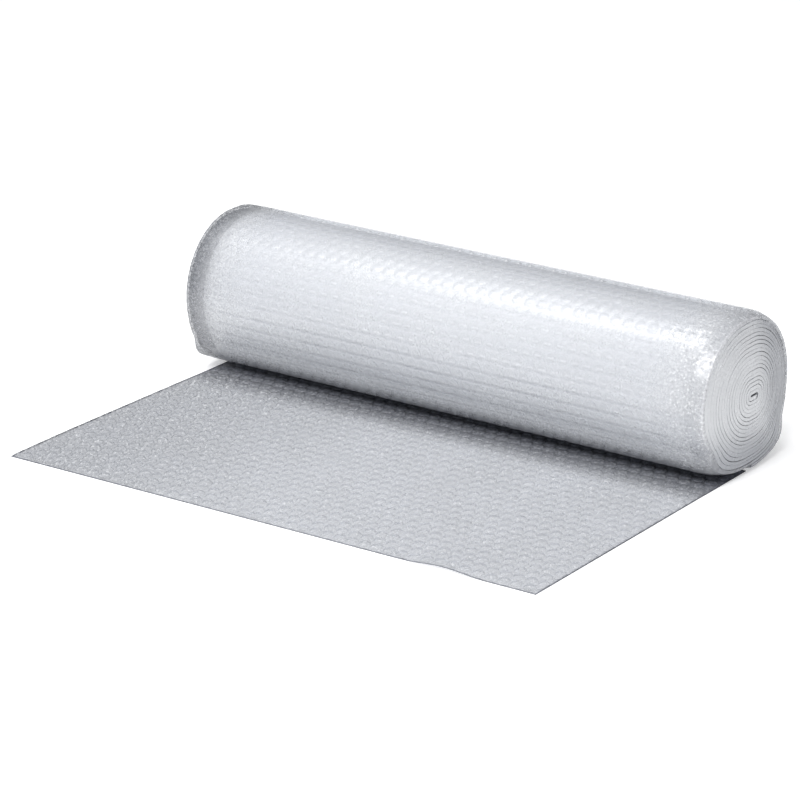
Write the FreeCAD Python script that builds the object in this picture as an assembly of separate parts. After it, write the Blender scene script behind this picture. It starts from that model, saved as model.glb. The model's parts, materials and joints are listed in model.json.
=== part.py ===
# A roll of air-bubble cushioning film, lying on its side with the free end of the sheet pulled out flat in front.
# The whole roll is one continuous sheet, so it is one solid. Its section is drawn once, in the Y-Z plane, and
# extruded across the sheet's width along X. The roll has no core tube: the sheet is simply wound on itself.
#
# The sheet is a plain backing film with rows of air bubbles on one face. Each row runs across the sheet's width.
# The bubbles face the inside of the winding, so the roll shows smooth film and the pulled-out tail shows bubbles
# on top. One row of bubbles is one flat-topped ridge here, as wide and as high as the bubbles.
#
# The winding is soft and sits on a small flat: every turn has a short straight run at its bottom and its top,
# joined by half circles. All rear half circles share one centre, and all front ones share another, half a pitch
# higher. Each half turn is half a pitch smaller in radius than the one before, so the turns stay one pitch apart.
#
# Frame: +Z up, +X along the roll, -Y towards the free end of the sheet. The origin is at the middle of the
# ground that the part covers.

import FreeCAD, Part
import math
import os

# Sheet, in millimetres
web_width = 500.0        # across the sheet, which is the roll's length
tail_length = 290.0      # flat sheet pulled out in front of the roll's resting flat
film_thickness = 0.4     # backing film, drawn thicker than the real film so that it holds its shape as a solid
bubble_height = 2.4      # bubbles above the backing film
bubble_width = 9.7       # a bubble at its base, along the sheet
bubble_wall_run = 1.3    # how far a bubble's side leans in on its way to the top, along the sheet
seal_width = 0.9         # flat film sealed between one row of bubbles and the next
end_margin = 2.0         # flat film before the first row and after the last

# Winding
outer_radius = 65.0      # outside of the outermost half turn
rest_flat = 8.0          # straight run under and over every turn, where the soft roll sits
turn_gap = 0.5           # air between the tops of the bubbles and the next turn's film
heart_radius = 5.5       # no half turn is wound tighter than this

sheet_thickness = film_thickness + bubble_height
turn_pitch = sheet_thickness + turn_gap
crown_bow = turn_gap / 2  # a ridge's top is drawn flat where the winding would bow it by less than this
row_pitch = bubble_width + seal_width
half_flat = rest_flat / 2
rear_reach = half_flat + outer_radius
front_reach = half_flat + tail_length
middle_y = (rear_reach - front_reach) / 2


class Straight:
    """A level run of the winding's outer face, from start, heading along Y with sign +1 or -1."""

    def __init__(self, begins, length, start, heading):
        self.begins = begins
        self.ends = begins + length
        self.start = start
        self.heading = heading

    def place(self, along, depth):
        """The point at a distance along the sheet, at a depth below the winding's outer face."""
        travelled = along - self.begins
        return self.start + FreeCAD.Vector(0, self.heading * travelled, self.heading * depth)

    def edge(self, first, last, depth):
        """The offset run between two distances along the sheet."""
        return Part.LineSegment(self.place(first, depth), self.place(last, depth)).toShape()


class HalfTurn:
    """Half a circle of the winding's outer face, wound anticlockwise seen with Y to the right and Z up."""

    def __init__(self, begins, centre, radius, start_angle):
        self.begins = begins
        self.ends = begins + math.pi * radius
        self.centre = centre
        self.radius = radius
        self.start_angle = start_angle

    def place(self, along, depth):
        """The point at a distance along the sheet, at a depth below the winding's outer face."""
        angle = self.start_angle + (along - self.begins) / self.radius
        reach = self.radius - depth
        return self.centre + FreeCAD.Vector(0, reach * math.cos(angle), reach * math.sin(angle))

    def edge(self, first, last, depth):
        """The offset arc between two distances along the sheet."""
        middle = (first + last) / 2
        return Part.Arc(self.place(first, depth), self.place(middle, depth), self.place(last, depth)).toShape()


def wind_sheet():
    """The outer face of the sheet as straight runs and half turns, from the free end to the heart of the roll."""
    lower_right = FreeCAD.Vector(0, half_flat - middle_y, 0)
    stretches = [Straight(0.0, tail_length + rest_flat, FreeCAD.Vector(0, -front_reach - middle_y, 0), 1)]
    rear_centre = lower_right + FreeCAD.Vector(0, 0, outer_radius)
    front_centre = rear_centre + FreeCAD.Vector(0, -rest_flat, turn_pitch / 2)
    radius = outer_radius
    rear = True
    while radius >= heart_radius:
        centre, start_angle = (rear_centre, -math.pi / 2) if rear else (front_centre, math.pi / 2)
        turn = HalfTurn(stretches[-1].ends, centre, radius, start_angle)
        stretches.append(turn)
        heading = -1 if rear else 1
        stretches.append(Straight(turn.ends, rest_flat, turn.place(turn.ends, 0.0), heading))
        radius -= turn_pitch / 2
        rear = not rear
    return stretches


def follow(stretches, first, last, depth):
    """The edges of the sheet's face at one depth, between two distances along it."""
    edges = []
    for stretch in stretches:
        begin = max(first, stretch.begins)
        end = min(last, stretch.ends)
        if end - begin > 1e-6:
            edges.append(stretch.edge(begin, end, depth))
    return edges


def place(stretches, along, depth):
    """The point at a distance along the sheet, at a depth below its outer face."""
    for stretch in stretches:
        if along <= stretch.ends:
            return stretch.place(along, depth)
    return stretches[-1].place(along, depth)


def bubble_side(stretches, sheet_length):
    """The sheet's bubble face, from the free end to the heart: film, then a ridge, for each row of bubbles."""
    edges = []
    reached = 0.0
    rows = int((sheet_length - 2 * end_margin + seal_width) // row_pitch)
    for row in range(rows):
        foot = end_margin + row * row_pitch
        crown = foot + bubble_wall_run
        crown_end = foot + bubble_width - bubble_wall_run
        foot_end = foot + bubble_width
        edges.append(straight(stretches, reached, film_thickness, foot, film_thickness))
        edges.append(straight(stretches, foot, film_thickness, crown, sheet_thickness))
        edges += ridge_top(stretches, crown, crown_end)
        edges.append(straight(stretches, crown_end, sheet_thickness, foot_end, film_thickness))
        reached = foot_end
    return edges + follow(stretches, reached, sheet_length, film_thickness)


def ridge_top(stretches, first, last):
    """The edges along the top of a ridge: one flat, or the winding's own arcs where they are tight."""
    ends_middle = (place(stretches, first, sheet_thickness) + place(stretches, last, sheet_thickness)) / 2
    bow = ends_middle.distanceToPoint(place(stretches, (first + last) / 2, sheet_thickness))
    if bow < crown_bow:
        return [straight(stretches, first, sheet_thickness, last, sheet_thickness)]
    return follow(stretches, first, last, sheet_thickness)


def straight(stretches, first, first_depth, last, last_depth):
    """A straight edge between two places in the sheet, each by its distance along it and its depth."""
    return Part.LineSegment(place(stretches, first, first_depth), place(stretches, last, last_depth)).toShape()


def bubble_film_roll():
    """The wound sheet with its tail, one closed solid."""
    stretches = wind_sheet()
    sheet_length = stretches[-1].ends
    outer_face = follow(stretches, 0.0, sheet_length, 0.0)
    heart_cut = straight(stretches, sheet_length, 0.0, sheet_length, film_thickness)
    free_cut = straight(stretches, 0.0, 0.0, 0.0, film_thickness)
    outline = outer_face + [heart_cut] + bubble_side(stretches, sheet_length)[::-1] + [free_cut]
    section = Part.Face(Part.Wire(Part.__sortEdges__(outline)))
    section.translate(FreeCAD.Vector(-web_width / 2, 0, 0))
    print(f"sheet {sheet_length / 1000:.2f} m long, {(len(stretches) - 1) / 4:.1f} turns, {len(outline)} edges")
    return section.extrude(FreeCAD.Vector(web_width, 0, 0))


os.makedirs("parts", exist_ok=True)
roll = bubble_film_roll()
print(roll.ShapeType, "valid", roll.isValid(), "volume", round(roll.Volume), "box", roll.BoundBox)
roll.exportStep("parts/bubble_film_roll.step")
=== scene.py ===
import json
import math

import bpy
import numpy as np
from mathutils import Matrix, Vector

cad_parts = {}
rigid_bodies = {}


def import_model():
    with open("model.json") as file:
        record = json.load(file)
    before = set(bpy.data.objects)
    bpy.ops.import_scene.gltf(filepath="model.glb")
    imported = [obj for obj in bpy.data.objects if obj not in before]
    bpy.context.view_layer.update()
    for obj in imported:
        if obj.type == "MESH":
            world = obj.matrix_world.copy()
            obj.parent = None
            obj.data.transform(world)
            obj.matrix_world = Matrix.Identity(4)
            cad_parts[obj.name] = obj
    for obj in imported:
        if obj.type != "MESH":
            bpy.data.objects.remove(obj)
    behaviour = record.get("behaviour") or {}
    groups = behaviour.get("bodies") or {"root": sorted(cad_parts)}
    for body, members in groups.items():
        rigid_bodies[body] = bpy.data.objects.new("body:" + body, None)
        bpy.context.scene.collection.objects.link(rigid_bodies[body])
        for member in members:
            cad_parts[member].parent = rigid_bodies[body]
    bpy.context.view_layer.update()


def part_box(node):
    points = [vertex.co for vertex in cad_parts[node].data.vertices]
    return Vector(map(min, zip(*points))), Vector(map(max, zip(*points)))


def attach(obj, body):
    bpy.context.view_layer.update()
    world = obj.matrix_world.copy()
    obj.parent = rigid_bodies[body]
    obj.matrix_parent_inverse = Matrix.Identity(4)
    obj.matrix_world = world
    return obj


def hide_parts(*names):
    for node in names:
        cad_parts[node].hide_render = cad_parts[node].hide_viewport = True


for thing in list(bpy.data.objects):       # whatever the new file starts with
    bpy.data.objects.remove(thing)

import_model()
rollNode = "bubble_film_roll"
rollLow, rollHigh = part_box(rollNode)
print("frame loaded:", rollNode)


# The sheet as it lies flat: X across it, Y along it from the free end, Z up into the bubbles. All in metres.
sheet = {
    "halfWidth": rollHigh.x,
    "acrossPitch": 0.01145,    # from one bubble to the next in a row
    "rowPitch": 0.0106,        # from one row to the next, each shifted by half a bubble
    "firstRow": 0.00685,       # middle of the first row
    "filmThick": 0.0004,
    "bubbleFoot": 0.00495,     # radius where a bubble leaves the film
}
halfWidth, filmThick, bubbleFoot = sheet["halfWidth"], sheet["filmThick"], sheet["bubbleFoot"]

# How the sheet is wound: half turns joined by short straight runs, each half turn half a pitch tighter.
winding = {
    "outerRadius": (rollHigh.z - rollLow.z) / 2,
    "restFlat": 0.008,
    "turnPitch": 0.0033,
    "heartRadius": 0.0035,     # the sheet's crumpled start fills the heart
}
tailLength = rollHigh.y - rollLow.y - winding["outerRadius"] - winding["restFlat"]


def windStretches():
    flat, radius = winding["restFlat"], winding["outerRadius"]
    rearY = rollHigh.y - radius
    rear = (rearY, radius)
    front = (rearY - flat, radius + winding["turnPitch"] / 2)
    made = [{"begin": 0.0, "end": tailLength + flat, "start": (rollLow.y, 0.0), "heading": 1}]
    atRear = True
    while radius >= winding["heartRadius"]:
        centre = rear if atRear else front
        begin = made[-1]["end"]
        turnEnd = begin + math.pi * radius
        made.append({"begin": begin, "end": turnEnd, "centre": centre, "radius": radius,
                     "angle": -math.pi / 2 if atRear else math.pi / 2})
        side = 1 if atRear else -1
        made.append({"begin": turnEnd, "end": turnEnd + flat,
                     "start": (centre[0], centre[1] + side * radius), "heading": -side})
        radius -= winding["turnPitch"] / 2
        atRear = not atRear
    return made


stretches = windStretches()
tailEnd = stretches[0]["end"]          # the tail goes under the roll and turns up here
outerEnd = stretches[4]["end"]         # the outermost turn is back at the bottom here
sheetEnd = stretches[-1]["end"]


def windPlace(along, depth):
    # where a point of the flat sheet lies once it is wound, by its distance along it and its depth in it
    y, z = np.zeros_like(along), np.zeros_like(along)
    for stretch in stretches:
        last = stretch is stretches[-1]
        here = (along >= stretch["begin"]) & ((along < stretch["end"]) | last)
        gone = along[here] - stretch["begin"]
        if "centre" in stretch:
            angle = stretch["angle"] + gone / stretch["radius"]
            reach = stretch["radius"] - depth[here]
            y[here] = stretch["centre"][0] + reach * np.cos(angle)
            z[here] = stretch["centre"][1] + reach * np.sin(angle)
        else:
            y[here] = stretch["start"][0] + stretch["heading"] * gone
            z[here] = stretch["start"][1] + stretch["heading"] * depth[here]
    before = along < 0
    y[before] = rollLow.y + along[before]
    z[before] = depth[before]
    return y, z


# The roll is soft: its foot spreads, and at its ends the turns close in a little and the heart stands out.
softRoll = {
    "footSpread": 0.40,      # how much wider the roll is at the floor than a round one
    "footFrom": 0.50,        # share of the radius below the middle where it starts to spread
    "reach": 0.014,          # how far in from the rim the turns start to close in
    "closeInLeft": 0.0006,   # by how much the outermost turn does at each end
    "closeInRight": 0.0035,
    "standOut": 0.008,       # by how much the heart stands out
    "sag": 0.005,            # by how much the bottom of the rim does
    "sagFrom": 0.20,         # share of the radius below the middle where that starts
}
rollMiddle = Vector((0.0, rollHigh.y - winding["outerRadius"] - winding["restFlat"] / 2,
                     winding["outerRadius"]))


def smoothRise(value, low, high):
    share = np.clip((value - low) / (high - low), 0, 1)
    return share * share * (3 - 2 * share)


def settle(x, y, z):
    past = np.maximum((np.abs(x) - halfWidth + softRoll["reach"]) / softRoll["reach"], 0)
    outY, outZ = y - rollMiddle.y, z - rollMiddle.z
    radius = np.sqrt(outY ** 2 + outZ ** 2)
    share = np.clip(radius / winding["outerRadius"], 0, 1)
    closeIn = np.where(x < 0, softRoll["closeInLeft"], softRoll["closeInRight"])
    squeeze = 1 - closeIn / winding["outerRadius"] * past ** 2 * share
    below = -outZ / winding["outerRadius"]
    spread = 1 + softRoll["footSpread"] * smoothRise(below, softRoll["footFrom"], 1)
    low = np.clip(below - softRoll["sagFrom"], 0, 1)
    x = x + np.sign(x) * past * (softRoll["standOut"] * (1 - share ** 2) + softRoll["sag"] * low * share)
    return x, rollMiddle.y + outY * squeeze * spread, rollMiddle.z + outZ * squeeze


def deselect():
    if bpy.context.object and bpy.context.object.mode != "OBJECT":
        bpy.ops.object.mode_set(mode="OBJECT")
    bpy.ops.object.select_all(action="DESELECT")


def edit():
    bpy.ops.object.mode_set(mode="EDIT")


def leave():
    bpy.ops.object.mode_set(mode="OBJECT")


def readPoints(mesh):
    points = np.empty(len(mesh.vertices) * 3)
    mesh.vertices.foreach_get("co", points)
    return points.reshape(-1, 3)


def writePoints(mesh, points):
    mesh.vertices.foreach_set("co", np.ascontiguousarray(points, dtype=np.float32).ravel())
    mesh.update()


def cellCorners():
    # the six corners and six edge middles of the patch of film round one bubble
    p, r = sheet["acrossPitch"], sheet["rowPitch"]
    peak = (p * p / 4 + r * r) / (2 * r)
    shoulder = (r * r - p * p / 4) / (2 * r)
    quarter = [(p / 2, 0), (p / 2, shoulder), (p / 4, r / 2), (0, peak)]
    upper = quarter + [(-x, y) for x, y in quarter[2::-1]]
    return upper + [(-x, -y) for x, y in upper[1:-1]]


def bubbleCell(name, rings, tip):
    # one bubble: rings of (radius, height) from its foot up, closed at its tip, and the film round it
    corners = cellCorners()
    footRadius = rings[0][0]
    filmGrow = 1.2       # the film is first drawn this much wider than the foot, then pulled to the corners
    deselect()
    bpy.ops.mesh.primitive_circle_add(vertices=len(corners), radius=footRadius, fill_type="NOTHING",
                                      location=(0, 0, rings[0][1]))
    cell = bpy.context.object
    cell.name = name
    edit()
    bpy.ops.mesh.select_all(action="SELECT")
    for (radius, height), (nextRadius, nextHeight) in zip(rings, rings[1:]):
        bpy.ops.mesh.extrude_region_move(TRANSFORM_OT_translate={"value": (0, 0, nextHeight - height)})
        grow = nextRadius / radius
        bpy.ops.transform.resize(value=(grow, grow, 1), center_override=(0, 0, 0))
    bpy.ops.mesh.extrude_region_move(TRANSFORM_OT_translate={"value": (0, 0, tip - rings[-1][1])})
    bpy.ops.mesh.merge(type="CENTER")
    leave()
    foot = np.array([abs(v.co.z) < 1e-7 and v.co.xy.length > footRadius - 1e-6 for v in cell.data.vertices])
    cell.data.vertices.foreach_set("select", foot)
    cell.data.edges.foreach_set("select", [all(foot[i] for i in e.vertices) for e in cell.data.edges])
    cell.data.polygons.foreach_set("select", [False] * len(cell.data.polygons))
    edit()
    bpy.ops.mesh.select_mode(type="EDGE")
    bpy.ops.mesh.extrude_region_move(TRANSFORM_OT_translate={"value": (0, 0, 0)})
    bpy.ops.transform.resize(value=(filmGrow, filmGrow, 1), center_override=(0, 0, 0))
    bpy.ops.mesh.mark_seam()
    leave()
    for vertex in cell.data.vertices:
        if vertex.co.xy.length > footRadius * (1 + filmGrow) / 2:
            turn = math.atan2(vertex.co.y, vertex.co.x) / math.tau * len(corners)
            vertex.co.xy = corners[round(turn) % len(corners)]
    return cell


def arrayCells(cell, columns, rows):
    # rows of the cell, every other one shifted by half a bubble
    p, r = sheet["acrossPitch"], sheet["rowPitch"]
    edit()
    bpy.ops.mesh.select_mode(type="VERT")
    bpy.ops.mesh.select_all(action="SELECT")
    bpy.ops.mesh.duplicate_move(TRANSFORM_OT_translate={"value": (p / 2, r, 0)})
    leave()
    for count, step in ((columns, (p, 0, 0)), ((rows + 1) // 2, (0, 2 * r, 0))):
        array = cell.modifiers.new("rows", "ARRAY")
        array.count = count
        array.use_relative_offset = False
        array.use_constant_offset = True
        array.constant_offset_displace = step
        bpy.ops.object.modifier_apply(modifier=array.name)
    edit()
    bpy.ops.mesh.select_all(action="SELECT")
    bpy.ops.mesh.remove_doubles(threshold=1e-5)
    bpy.ops.mesh.normals_make_consistent(inside=False)
    leave()


def slit(x0, x1, y0, y1):
    # cuts the flat sheet to a rectangle
    edit()
    for place, normal in (((x0, 0, 0), (-1, 0, 0)), ((x1, 0, 0), (1, 0, 0)),
                          ((0, y0, 0), (0, -1, 0)), ((0, y1, 0), (0, 1, 0))):
        bpy.ops.mesh.select_all(action="SELECT")
        bpy.ops.mesh.bisect(plane_co=place, plane_no=normal, clear_outer=True)
    leave()


def backTheBubbles(pillow):
    # the backing film: a copy of the bubble side, flattened or slightly pillowed, and joined round the rim
    edit()
    bpy.ops.mesh.select_all(action="SELECT")
    bpy.ops.mesh.duplicate()
    bpy.ops.transform.resize(value=(1, 1, -pillow), center_override=(0, 0, 0))
    bpy.ops.transform.translate(value=(0, 0, -filmThick))
    if not pillow:
        bpy.ops.mesh.dissolve_limited(angle_limit=math.radians(1), use_dissolve_boundaries=False,
                                      delimit={"SEAM"})
    bpy.ops.mesh.select_all(action="DESELECT")
    bpy.ops.mesh.select_mode(type="EDGE")
    bpy.ops.mesh.select_non_manifold(extend=False, use_wire=False, use_multi_face=False,
                                     use_non_contiguous=False, use_verts=False)
    bpy.ops.mesh.bridge_edge_loops()
    bpy.ops.mesh.select_all(action="SELECT")
    bpy.ops.mesh.normals_make_consistent(inside=False)
    leave()


def bubbleSheet(name, part, x0, x1, y0, y1):
    # a rectangle of flat sheet, its rows in step with the rest of the sheet
    p, r = sheet["acrossPitch"], sheet["rowPitch"]
    piece = bubbleCell(name, part["rings"], part["tip"])
    firstColumn = math.floor(x0 / p) - 1
    firstRow = 2 * (math.floor((y0 - sheet["firstRow"]) / r / 2) - 1)
    columns = math.ceil(x1 / p) - firstColumn + 2
    rows = math.ceil((y1 - sheet["firstRow"]) / r) - firstRow + 2
    arrayCells(piece, columns, rows)
    writePoints(piece.data, readPoints(piece.data) + (firstColumn * p, sheet["firstRow"] + firstRow * r, 0))
    slit(x0, x1, y0, y1)
    backTheBubbles(part["pillow"])
    writePoints(piece.data, readPoints(piece.data) + (0, 0, filmThick))
    return piece


def noteSheetPlace(piece):
    # where each point is on the flat sheet, for the materials: across, along, depth
    flat = piece.data.attributes.new("sheetPlace", "FLOAT_VECTOR", "POINT")
    flat.data.foreach_set("vector", readPoints(piece.data).astype(np.float32).ravel())


# At the slit edges of the wound turns, the film between the bubbles comes up to their tops.
slitEdge = {
    "from": 0.003,          # how far in from the rim it starts to come up, and where it is up
    "to": 0.0004,
    "level": 0.92,          # share of the way that it comes up, and how far that ripples
    "ripple": 0.08,
    "rippleLength": 0.017,  # along the sheet, for each radian of the ripple
}


def windUp(piece, rimRise=0.0):
    noteSheetPlace(piece)
    x, along, depth = readPoints(piece.data).T
    edge = smoothRise(np.abs(x), halfWidth - slitEdge["from"], halfWidth - slitEdge["to"])
    level = slitEdge["level"] + slitEdge["ripple"] * np.sin(along / slitEdge["rippleLength"])
    depth = np.where(depth > filmThick * 0.9, np.maximum(depth, filmThick + rimRise * edge * level), depth)
    y, z = windPlace(along, depth)
    writePoints(piece.data, np.column_stack(settle(x, y, z)))


# The pulled-out part: its free edges are slit through bubbles, which lie down there.
freeEnd = {
    "slumpFrom": -0.001,  # across this strip at an edge, the cut bubbles are flatter
    "slumpTo": 0.006,
    "slump": 0.85,        # by what share of their height
    "drawnIn": 0.007,     # by how much the left edge is drawn in beside the roll
    "drawnFrom": -0.1,    # how far left of the middle that starts
    "forward": 0.002,     # by how much the free edge bellies forward
    "reach": 0.05,        # how far back from it that is felt
    "wave": 0.0024,       # how high the free edge lifts off the floor in one place
    "waveMiddle": 0.168,
    "waveHalf": 0.038,
    "crushFrom": 0.090,   # the roll's weight flattens the bubbles in front of it, over this stretch before
    "crushTo": 0.050,     # its foot
    "crush": 0.72,        # by what share of their height
    "nipShadeTo": 0.020,      # painted shade darkens the film in front of the roll, to here before its foot
}


def layOut(piece):
    noteSheetPlace(piece)
    x, along, depth = readPoints(piece.data).T
    inward = np.minimum(halfWidth - np.abs(x), along)
    raised = np.maximum(depth - filmThick, 0)
    slump = 1 - smoothRise(inward, freeEnd["slumpFrom"], freeEnd["slumpTo"])
    crush = smoothRise(along, tailEnd - freeEnd["crushFrom"], tailEnd - freeEnd["crushTo"])
    depth = depth - raised * slump * freeEnd["slump"] - raised * crush * freeEnd["crush"]
    free = 1 - smoothRise(along, 0, freeEnd["reach"])
    fromWave = np.abs(x - freeEnd["waveMiddle"])
    depth = depth + freeEnd["wave"] * free * (1 - smoothRise(fromWave, 0, freeEnd["waveHalf"]))
    drawn = smoothRise(along, 0, tailEnd) * freeEnd["drawnIn"]
    x = x + drawn * smoothRise(-x, freeEnd["drawnFrom"], halfWidth)
    y, z = windPlace(along, depth)
    writePoints(piece.data, np.column_stack((x, y - freeEnd["forward"] * free, z)))


def closedCheck(piece):
    triangles = sum(len(polygon.vertices) - 2 for polygon in piece.data.polygons)
    uses = {}
    for polygon in piece.data.polygons:
        for key in polygon.edge_keys:
            uses[key] = uses.get(key, 0) + 1
    print(piece.name, triangles, "triangles,", sum(n != 2 for n in uses.values()), "open edges")


def smooth(piece, degrees):
    deselect()
    piece.select_set(True)
    bpy.context.view_layer.objects.active = piece
    bpy.ops.object.shade_smooth_by_angle(angle=math.radians(degrees))


def dress(piece, material):
    piece.data.materials.clear()
    piece.data.materials.append(material)
    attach(piece, "root")
    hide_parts(rollNode)
    closedCheck(piece)


class Wire:
    # one shader socket, so that shader maths reads as sums
    def __init__(self, finish, socket):
        self.finish = finish
        self.socket = socket

    def maths(self, operation, first, second=0.0):
        return self.finish.add("Math", {"operation": operation}, {0: first, 1: second})

    def __add__(self, other):
        return self.maths("ADD", self, other)

    def __radd__(self, other):
        return self.maths("ADD", other, self)

    def __sub__(self, other):
        return self.maths("SUBTRACT", self, other)

    def __rsub__(self, other):
        return self.maths("SUBTRACT", other, self)

    def __mul__(self, other):
        return self.maths("MULTIPLY", self, other)

    def __rmul__(self, other):
        return self.maths("MULTIPLY", other, self)

    def __truediv__(self, other):
        return self.maths("DIVIDE", self, other)

    def __mod__(self, other):
        return self.maths("FLOORED_MODULO", self, other)

    def __pow__(self, other):
        return self.maths("POWER", self, other)

    def floor(self):
        return self.maths("FLOOR", self)

    def root(self):
        return self.maths("SQRT", self)

    def size(self):
        return self.maths("ABSOLUTE", self)

    def cosine(self):
        return self.maths("COSINE", self)


class Finish:
    # the nodes of a material, or of the room's light
    def __init__(self, holder):
        holder.use_nodes = True
        self.holder = holder
        self.tree = holder.node_tree
        self.tree.nodes.clear()

    def add(self, kind, settings=None, sockets=None, output=0):
        # a node: its type, its settings first, then the values or links of its sockets
        node = self.tree.nodes.new("ShaderNode" + kind)
        for name, value in (settings or {}).items():
            setattr(node, name, value)
        for name, value in (sockets or {}).items():
            if isinstance(value, Wire):
                self.tree.links.new(value.socket, node.inputs[name])
            else:
                node.inputs[name].default_value = value
        return Wire(self, node.outputs[output]) if node.outputs else None

    def part(self, wire, output):
        return Wire(self, wire.socket.node.outputs[output])

    def range(self, value, low, high):
        return self.add("MapRange", {"interpolation_type": "SMOOTHSTEP"},
                        {"Value": value, "From Min": low, "From Max": high})

    def nearRim(self, outward, start, full):
        # start and full are distances in from the rim
        return self.range(outward, halfWidth - start, halfWidth - full)

    def highest(self, first, second):
        return self.add("Math", {"operation": "MAXIMUM"}, {0: first, 1: second})

    def blend(self, factor, first, second):
        # a colour between two colours
        return self.add("Mix", {"data_type": "RGBA"}, {0: factor, 6: first, 7: second}, output=2)

    def onSheet(self):
        # where a point was on the flat sheet, and its parts: across, along and depth
        spot = self.add("Attribute", {"attribute_name": "sheetPlace"}, output=1)
        split = self.add("SeparateXYZ", sockets={0: spot})
        return spot, split, self.part(split, 1), self.part(split, 2)

    def onRoll(self):
        # how far behind the roll's middle a point is and its height above the floor, in metres
        spot = self.add("TexCoord", output=3)
        split = self.add("SeparateXYZ", sockets={0: spot})
        return self.part(split, 1) - rollMiddle.y, self.part(split, 2)

    def bubbleSpot(self, across, along):
        # where a point is within its own bubble's share of the sheet, from -0.5 to 0.5 each way, how far it
        # is from the bubble's middle in metres, and a random value that is the same all over the bubble
        p, r = sheet["acrossPitch"], sheet["rowPitch"]
        line = (along - sheet["firstRow"]) / r
        row = (line + 0.5).floor()
        shifted = across / p - (row % 2.0) * 0.5
        column = (shifted + 0.5).floor()
        sideways = shifted - column
        lengthways = line - row
        distance = ((sideways * p) ** 2 + (lengthways * r) ** 2).root()
        bubble = self.add("CombineXYZ", sockets={0: column, 1: row})
        number = self.add("TexWhiteNoise", {"noise_dimensions": "3D"}, {"Vector": bubble})
        return sideways, lengthways, distance, number

    def end(self, shader, kind="OutputMaterial"):
        self.add(kind, sockets={"Surface": shader})
        return self.holder


def uneven(share, least, most):
    # turns a value from 0 to 1 into one from least to most
    return share * (most - least) + least


# Where the film's marks start and where they are full. The distances are in metres.
filmMarks = {
    "cloud": {"Scale": 18.0, "Detail": 3.0},                       # broad and milky
    "crease": {"Scale": 420.0, "Detail": 1.5, "Roughness": 0.6},   # fine, two or three millimetres apart
    "creaseHeight": 0.0012,
    "grain": (0.36, 0.64),          # crease values, from the dull to the bright ones
    "spark": (0.60, 0.68),          # crease values that catch the light
    "facets": (0.2, 0.1),           # how much a bubble's facets glint across the sheet and along it
    "facetCrease": 0.7,             # how much the creases add to that, and chance from bubble to bubble
    "facetChance": 0.15,
    "glint": (0.40, 0.70),
    "shine": (0.95, 0.96, 0.98, 1),
    "wallInside": (0.0038, 0.0047),    # a bubble's side wall, by the distance from its middle
    "wallOutside": (0.0050, 0.0054),
    "wallDark": (0.05, 0.55),          # how far the walls take painted shade, least and most, by chance from bubble to bubble
    "bubbleSide": (0.0004, 0.0008),    # depth in the sheet where a bubble stands clear of the film
    "bareSide": (0.0001, 0.0003),      # depth in the sheet where the film's bare side ends
    "slitRim": (0.0014, 0.0006),       # in from the rims
    "slitFree": (0.0006, 0.0014),      # in from the free end
    "slitDark": 0.9,
    "leftRim": (0.032, 0.003),         # in from that rim
    "rightRim": (0.026, 0.002),
    "rimDark": (0.3, 1.1),             # least and most, by the grain
    "nearRim": (0.055, 0.018),         # in from the rims, where the film turns milky
    "rimMilky": (0.3, 1.2),            # least and most, by the grain
    "rimClear": 0.8,                   # how much less milky it is low on the roll
    "leftHalf": (0.01, -0.01),         # across the sheet, where its left half starts
    "leftSpark": 0.25,                 # how much of the rims' specks the left one has
    "foot": (0.034, 0.002),            # heights above the floor, where painted shade falls near it
    "low": (0.058, 0.010),
    "crown": (-0.030, 0.030),          # behind the roll's middle, where painted shade falls over the top and at the back
    "rear": (-0.002, 0.045),
    "nipShadeShare": 0.9,
    "glossChance": 0.05,               # roughness, more or less, from bubble to bubble
    "cloudHaze": 0.12,                 # how much the marks add to the film's haze
    "shineHaze": 0.3,
    "slitHaze": 0.3,
    "footHaze": 0.3,
    "nipShadeHaze": 0.8,
}

# What a film is where its piece says nothing else. A piece gives its own colours and anything that differs.
plainFilm = {
    "haze": 0.24,        # from 0, clear, to 1, milky
    "backing": 0.0,      # how much milkier the film's bare side is
    "grain": 0.06,       # how far the creases vary the haze
    "wallHaze": 0.0,     # how much milkier the bubbles' side walls are
    "glint": 0.0,        # painted glints on the bubbles' facets
    "spark": 0.0,        # painted highlights: specks on the creases
    "rimSpark": 0.0,     # more of them near the rims
    "creases": 0.12,     # relief of the creases
    "creaseShade": 0.05,        # painted shade: dull specks in the hollows between them
    "leftRim": 0.0,      # how far the film turns to the end colour at each rim
    "rightRim": 0.0,
    "rimHaze": 0.0,      # how much milkier it is near the rims
    "leftShade": 0.0,          # how much milkier, and so darker, it is towards the left: painted shade
    "nipShade": 0.0,      # how far painted shade darkens it in front of the roll
    "shadeToEnd": 0.0,      # how far it turns to the end colour at the left, and as painted shade at the back and near the floor
    "foot": 0.0,         # how far painted shade darkens it near the floor
    "crown": 0.0,        # how far painted shade darkens it over the top
    "roughness": 0.3,
    "specular": 1.0,
    "ior": 1.8,
}


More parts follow.
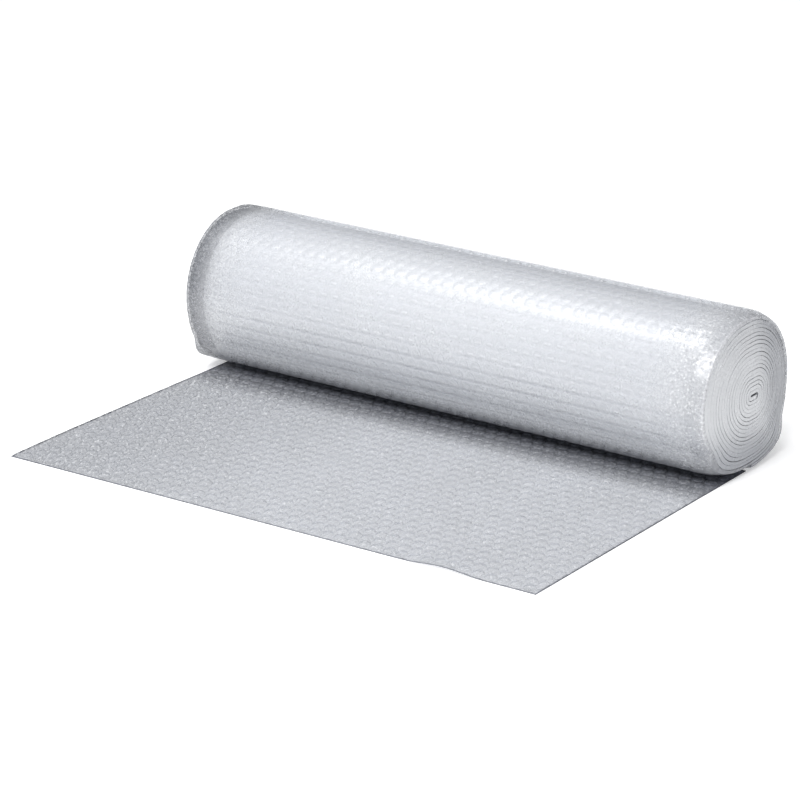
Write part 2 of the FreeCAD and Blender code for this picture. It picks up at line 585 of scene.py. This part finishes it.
def clearFilm(name, look):
    look = {**plainFilm, **look}
    finish = Finish(bpy.data.materials.new(name))
    spot, across, along, depth = finish.onSheet()
    sideways, lengthways, distance, number = finish.bubbleSpot(across, along)
    behind, height = finish.onRoll()
    cloud = finish.add("TexNoise", sockets={"Vector": spot, **filmMarks["cloud"]})
    crease = finish.add("TexNoise", sockets={"Vector": spot, **filmMarks["crease"]})
    grain = finish.range(crease, *filmMarks["grain"])

    # what makes the bubbles
    wall = finish.range(distance, *filmMarks["wallInside"]) * finish.range(depth, *filmMarks["bubbleSide"])
    wall = wall * (1 - finish.range(distance, *filmMarks["wallOutside"]))
    bare = 1 - finish.range(depth, *filmMarks["bareSide"])
    facetAcross, facetAlong = filmMarks["facets"]
    facet = (sideways * (6 * math.pi)).cosine() * facetAcross
    facet = facet + (lengthways * (4 * math.pi)).cosine() * facetAlong
    facet = facet + crease * filmMarks["facetCrease"] + number * filmMarks["facetChance"]

    # where the film is on the sheet and on the roll
    cut = finish.highest(finish.nearRim(across.size(), *filmMarks["slitRim"]),
                         1 - finish.range(along, *filmMarks["slitFree"]))
    leftRim = finish.nearRim(0 - across, *filmMarks["leftRim"]) * look["leftRim"]
    rightRim = finish.nearRim(across, *filmMarks["rightRim"]) * look["rightRim"]
    rim = finish.highest(leftRim, rightRim) * uneven(grain, *filmMarks["rimDark"])
    nearRim = finish.nearRim(across.size(), *filmMarks["nearRim"])
    leftHalf = finish.range(across, *filmMarks["leftHalf"])
    # painted shade: the tail darkens in front of the roll, where the roll's shadow falls
    nipShade = finish.range(along, tailEnd - freeEnd["crushFrom"], tailEnd - freeEnd["nipShadeTo"])
    nipShade = nipShade * look["nipShade"]
    # painted shade near the floor (foot) and over the top (crown)
    foot = finish.range(height, *filmMarks["foot"]) * look["foot"]
    low = finish.range(height, *filmMarks["low"])
    crown = finish.range(behind, *filmMarks["crown"]) * look["crown"]
    # darker over the left half, and painted shade at the back and near the floor
    leftAndShaded = finish.highest(leftHalf, finish.highest(finish.range(behind, *filmMarks["rear"]), low))

    # painted highlights: glints on the bubbles and specks on the creases
    sparkle = nearRim * uneven(leftHalf, 1.0, filmMarks["leftSpark"]) * look["rimSpark"] + look["spark"]
    shine = finish.highest(finish.range(facet, *filmMarks["glint"]) * look["glint"],
                           finish.range(crease, *filmMarks["spark"]) * sparkle)

    # the film's colour: a cloudy tone, painted shade on the bubbles' walls, the end colour at the rims,
    # painted shade at the back, near the floor and over the top, painted highlights, painted shade in the
    # creases' hollows, darker slit edges and painted shade in front of the roll
    colour = finish.blend(cloud, look["shade"], look["colour"])
    colour = finish.blend(wall * uneven(number, *filmMarks["wallDark"]), colour, look["wall"])
    colour = finish.blend(rim, colour, look["end"])
    colour = finish.blend(leftAndShaded * look["shadeToEnd"], colour, look["end"])
    colour = finish.blend(finish.highest(foot, crown), colour, look["shadeColour"])
    colour = finish.blend(shine, colour, filmMarks["shine"])
    colour = finish.blend((1 - grain) * look["creaseShade"], colour, look["wall"])
    slitColour = finish.blend(leftAndShaded, look["cut"], look["shadeColour"])
    colour = finish.blend(cut * filmMarks["slitDark"], colour, slitColour)
    colour = finish.blend(nipShade * filmMarks["nipShadeShare"], colour, look["shadeColour"])

    # over the pale floor more haze reads darker, so the haze added near the floor, towards the left and in
    # front of the roll is painted shade
    haze = look["haze"] + (grain - 0.5) * look["grain"] + (cloud - 0.5) * filmMarks["cloudHaze"]
    haze = haze + wall * look["wallHaze"] + bare * look["backing"] + shine * filmMarks["shineHaze"]
    haze = haze + cut * filmMarks["slitHaze"] + nipShade * filmMarks["nipShadeHaze"]
    haze = haze + foot * filmMarks["footHaze"] + finish.range(0 - across, 0.0, halfWidth) * look["leftShade"]
    milky = nearRim * uneven(grain, *filmMarks["rimMilky"]) * (1 - low * filmMarks["rimClear"])
    haze = haze + milky * look["rimHaze"]

    bump = finish.add("Bump", sockets={"Strength": look["creases"], "Distance": filmMarks["creaseHeight"],
                                       "Height": crease})
    gloss = uneven(number, -filmMarks["glossChance"], filmMarks["glossChance"]) + look["roughness"]
    body = finish.add("BsdfPrincipled", sockets={"Base Color": colour, "Roughness": gloss, "Normal": bump,
                                                 "Specular IOR Level": look["specular"], "IOR": look["ior"]})
    clear = finish.add("BsdfTransparent", sockets={"Color": look["tint"]})
    return finish.end(finish.add("MixShader", sockets={0: haze, 1: clear, 2: body}))


def woundFilm(name, look):
    # the turns seen through the outer one: their bubbles show as rows of short dashes, which are painted
    # highlights, between rows of dark ticks that are partly their pattern and partly painted shade, most at
    # the foot
    finish = Finish(bpy.data.materials.new(name))
    spot, across, along, _ = finish.onSheet()
    sideways, lengthways, _, number = finish.bubbleSpot(across, along)
    behind, height = finish.onRoll()
    cloud = finish.add("TexNoise", sockets={"Vector": spot, **look["cloud"]})
    crease = finish.add("TexNoise", sockets={"Vector": spot, **look["crease"]})
    low = finish.range(height, *look["low"])
    crown = finish.range(behind, *look["crownSpan"]) * look["crown"]
    nearEnd = finish.range(across.size(), look["endFrom"], halfWidth) * (1 - low) * look["end"]
    patch = finish.range(cloud, *look["patch"])
    between = finish.range(lengthways.size(), *look["rowGap"])
    tick = between * uneven(finish.range(sideways.size(), *look["tickSide"]), look["tickLeast"], 1.0)
    dash = finish.range(lengthways, *look["dashStart"]) * (1 - finish.range(lengthways, *look["dashEnd"]))
    dash = dash * (1 - finish.range(sideways.size(), *look["dashSide"]))
    row = (patch * look["row"] + low * look["lowRow"]) * uneven(number, *look["rowChance"])
    colour = finish.blend(cloud, look["shade"], look["colour"])
    # painted light low on the roll, painted shade in the row ticks, painted highlights in the dashes
    colour = finish.blend(low * look["lowLight"], colour, look["white"])
    colour = finish.blend(tick * row + (crease - 0.5) * look["grain"], colour, look["between"])
    colour = finish.blend(dash * uneven(number, *look["dashChance"]), colour, look["white"])
    colour = finish.blend(finish.highest(crown, nearEnd), colour, look["between"])
    bump = finish.add("Bump", sockets={"Strength": look["relief"], "Distance": look["reliefHeight"],
                                       "Height": dash * look["dashRise"] - between * row})
    return finish.end(finish.add("BsdfPrincipled", sockets={
        "Base Color": colour, "Roughness": look["roughness"], "Normal": bump}))


tailPart = {
    "rings": [(bubbleFoot, 0), (0.00475, 0.0012), (0.0040, 0.0022), (0.0023, 0.0028)],
    "tip": 0.0030,
    "pillow": 0.0,
    "smoothTo": 180,
    "look": {
        "colour": (0.53, 0.54, 0.55, 1), "shade": (0.47, 0.48, 0.505, 1), "wall": (0.24, 0.24, 0.27, 1),
        "cut": (0.05, 0.05, 0.06, 1), "shadeColour": (0.13, 0.14, 0.18, 1), "end": (0.05, 0.05, 0.06, 1),
        "tint": (0.95, 0.955, 0.965, 1), "haze": 0.12, "backing": 0.48, "grain": 0.15, "glint": 0.35,
        "spark": 0.7, "creases": 0.9, "creaseShade": 0.24, "leftShade": 0.16, "nipShade": 1.0, "specular": 0.5, "ior": 1.45,
    },
}
tail = bubbleSheet("pulled_out_sheet", tailPart, -halfWidth, halfWidth, 0, tailEnd)
layOut(tail)
smooth(tail, tailPart["smoothTo"])
dress(tail, clearFilm("clear film with bubbles up", tailPart["look"]))

outerPart = {
    "footLength": 0.035,   # made by itself, low behind the roll, so that each mesh is light enough
    "rings": [(bubbleFoot, 0), (0.0042, 0.0021)],
    "tip": 0.0026,
    "pillow": 0.07,
    "rimRise": 0.0026,     # how far the film comes up at the slit edges
    "smoothTo": 50,
    "look": {
        "colour": (0.82, 0.83, 0.84, 1), "shade": (0.74, 0.75, 0.785, 1), "wall": (0.74, 0.75, 0.785, 1),
        "cut": (0.66, 0.67, 0.70, 1), "shadeColour": (0.16, 0.17, 0.20, 1), "end": (0.12, 0.13, 0.15, 1),
        "tint": (0.965, 0.97, 0.977, 1), "wallHaze": -0.2, "glint": 0.03, "rimSpark": 0.6, "leftRim": 1.0,
        "rightRim": 0.20, "rimHaze": 0.21, "foot": 0.80, "crown": 0.18,
    },
}
outerFilm = clearFilm("clear film round the roll", outerPart["look"])
footJoin = tailEnd + outerPart["footLength"]
for name, y0, y1 in (("outer_turn_foot", tailEnd, footJoin), ("outer_turn", footJoin, outerEnd)):
    outer = bubbleSheet(name, outerPart, -halfWidth, halfWidth, y0, y1)
    windUp(outer, outerPart["rimRise"])
    smooth(outer, outerPart["smoothTo"])
    dress(outer, outerFilm)

endsPart = {
    "reach": 0.016,        # how far in from the rim the inner turns show their bubbles
    "rings": [(bubbleFoot, 0), (0.0042, 0.0021)],
    "tip": 0.0027,
    "pillow": 0.02,
    "rimRise": 0.00275,
    "smoothTo": 50,
    "look": {
        "colour": (0.68, 0.69, 0.71, 1), "shade": (0.62, 0.63, 0.66, 1), "wall": (0.52, 0.53, 0.56, 1),
        "cut": (0.54, 0.555, 0.58, 1), "shadeColour": (0.19, 0.205, 0.24, 1), "end": (0.16, 0.17, 0.205, 1),
        "tint": (0.92, 0.925, 0.94, 1), "haze": 0.92, "grain": 0.15, "glint": 0.1, "spark": 0.5,
        "creases": 0.4, "creaseShade": 0.12, "leftRim": 0.8, "rimHaze": 0.2, "shadeToEnd": 0.88,
    },
}
turnEnds = clearFilm("film seen at its edges", endsPart["look"])
for name, x0, x1 in (("turn_ends_left", -halfWidth, -halfWidth + endsPart["reach"]),
                     ("turn_ends_right", halfWidth - endsPart["reach"], halfWidth)):
    rim = bubbleSheet(name, endsPart, x0, x1, outerEnd, sheetEnd)
    windUp(rim, endsPart["rimRise"])
    smooth(rim, endsPart["smoothTo"])
    dress(rim, turnEnds)

# The inner turns: spans are in shares of a bubble's pitch where they place a mark in it, else in metres.
innerPart = {
    "strip": 0.006,        # length of one face along the sheet
    "smoothTo": 50,
    "look": {
        "cloud": {"Scale": 30.0, "Detail": 3.0},
        "crease": {"Scale": 320.0, "Detail": 2.5, "Roughness": 0.6},
        "colour": (0.83, 0.835, 0.840, 1), "shade": (0.77, 0.78, 0.80, 1), "between": (0.42, 0.43, 0.485, 1),
        "white": (1, 1, 1, 1), "roughness": 0.35, "grain": 0.3,
        "patch": (0.40, 0.60),          # cloud values where the rows show
        "row": 0.20, "lowRow": 0.56,    # how dark they are, and how much darker low on the roll, which is painted shade
        "rowChance": (0.6, 1.4),
        "rowGap": (0.30, 0.5), "tickSide": (0.10, 0.40), "tickLeast": 0.3,
        # the dashes are painted highlights at the upper edge of each bubble
        "dashStart": (0.10, 0.22), "dashEnd": (0.26, 0.38), "dashSide": (0.14, 0.30),
        "dashChance": (0.4, 0.9), "dashRise": 0.6, "relief": 0.45, "reliefHeight": 0.002,
        "low": (0.085, 0.050),          # heights above the floor
        # painted light: how much lighter the film is low on the roll
        "lowLight": 0.5,
        "crown": 0.36, "crownSpan": (-0.035, 0.030),   # painted shade over the top, behind the roll's middle
        "end": 0.24, "endFrom": 0.04,                  # darker towards both ends
    },
}
deselect()
innerLength = sheetEnd - outerEnd
strips = round(innerLength / innerPart["strip"])
bpy.ops.mesh.primitive_grid_add(x_subdivisions=1, y_subdivisions=strips, size=1,
                                location=(0, (outerEnd + sheetEnd) / 2, filmThick))
inner = bpy.context.object
inner.name = "inner_turns"
bpy.ops.transform.resize(value=(2 * (halfWidth - endsPart["reach"]), innerLength, 1))
bpy.ops.object.transform_apply(location=True, rotation=True, scale=True)
solid = inner.modifiers.new("film", "SOLIDIFY")
solid.thickness = filmThick
solid.offset = -1
bpy.ops.object.modifier_apply(modifier=solid.name)
windUp(inner)
smooth(inner, innerPart["smoothTo"])
dress(inner, woundFilm("film wound under the outer turn", innerPart["look"]))
print("roll modelled")

floorPart = {
    "size": 40,
    "below": 0.0002,       # just under the film
    "grain": {"Scale": 3.0, "Detail": 2.0},
    "colours": ((0.93, 0.93, 0.93, 1), (0.95, 0.95, 0.95, 1)),
    "shader": {"Roughness": 0.9, "Specular IOR Level": 0.1,
               "Emission Color": (1, 1, 1, 1), "Emission Strength": 0.33},
}


def paleFloor():
    finish = Finish(bpy.data.materials.new("pale floor"))
    spot = finish.add("TexCoord", output=3)
    grain = finish.add("TexNoise", sockets={"Vector": spot, **floorPart["grain"]})
    colour = finish.blend(grain, *floorPart["colours"])
    return finish.end(finish.add("BsdfPrincipled", sockets={"Base Color": colour, **floorPart["shader"]}))


deselect()
bpy.ops.mesh.primitive_plane_add(size=floorPart["size"], location=(0, 0, -floorPart["below"]))
floor = bpy.context.object
floor.name = "floor"
floor.data.materials.append(paleFloor())

eye = {
    "place": (1.75035, -2.4671, 1.1623),
    "down": 20.298,
    "turn": 35.356,
    "lean": -0.456,
    "lens": 182.9,
    "sees": (0.05, 100),   # nearest and farthest
}


def pointCamera():
    camera = bpy.data.objects.new("camera", bpy.data.cameras.new("camera"))
    bpy.context.scene.collection.objects.link(camera)
    turn = Matrix.Rotation(math.radians(eye["turn"]), 4, "Z")
    tip = Matrix.Rotation(math.radians(90 - eye["down"]), 4, "X")
    lean = Matrix.Rotation(math.radians(eye["lean"]), 4, "Z")
    camera.matrix_world = Matrix.Translation(eye["place"]) @ turn @ tip @ lean
    camera.data.lens = eye["lens"]
    camera.data.clip_start, camera.data.clip_end = eye["sees"]
    bpy.context.scene.camera = camera


# A bright ceiling that fades towards the walls, two lights above the roll and a broad one in front.
studio = {
    "colour": (0.98, 0.985, 1.0, 1),
    "brightSide": (-0.1, -0.62, 0.74),
    "fade": {"From Min": -0.4, "From Max": 0.9, "To Min": 0.20, "To Max": 0.68},
    "lights": [
        {"name": "key", "place": (-0.50, -0.02, 1.3), "size": (0.40, 0.45), "power": 5.0, "turn": 26},
        {"name": "long key", "place": (-0.95, -0.24, 1.3), "size": (0.55, 0.16), "power": 0.5, "turn": 26},
        {"name": "fill", "place": (0.4, -1.3, 1.8), "size": (1.2, 1.2), "power": 31},
    ],
}


def softLight(name, place, size, power, turn=None):
    # faces the roll, or straight down where it is turned about the vertical
    light = bpy.data.objects.new(name, bpy.data.lights.new(name, "AREA"))
    bpy.context.scene.collection.objects.link(light)
    light.data.shape = "RECTANGLE"
    light.data.size, light.data.size_y = size
    light.data.energy = power
    light.location = place
    if turn is None:
        light.rotation_euler = (rollMiddle - Vector(place)).to_track_quat("-Z", "Y").to_euler()
    else:
        light.rotation_euler = (0, 0, math.radians(turn))


def lightTheRoom():
    room = Finish(bpy.data.worlds.new("studio"))
    facing = room.add("TexCoord")
    lean = room.add("VectorMath", {"operation": "DOT_PRODUCT"}, {0: facing, 1: studio["brightSide"]},
                    output=1)
    fade = room.add("MapRange", sockets={"Value": lean, **studio["fade"]})
    light = room.add("Background", sockets={"Color": studio["colour"], "Strength": fade})
    bpy.context.scene.world = room.end(light, "OutputWorld")
    for lamp in studio["lights"]:
        softLight(**lamp)
    bpy.context.scene.view_settings.view_transform = "Standard"
    bpy.context.scene.cycles.transparent_max_bounces = 12


pointCamera()
lightTheRoom()
print("camera and lights set")
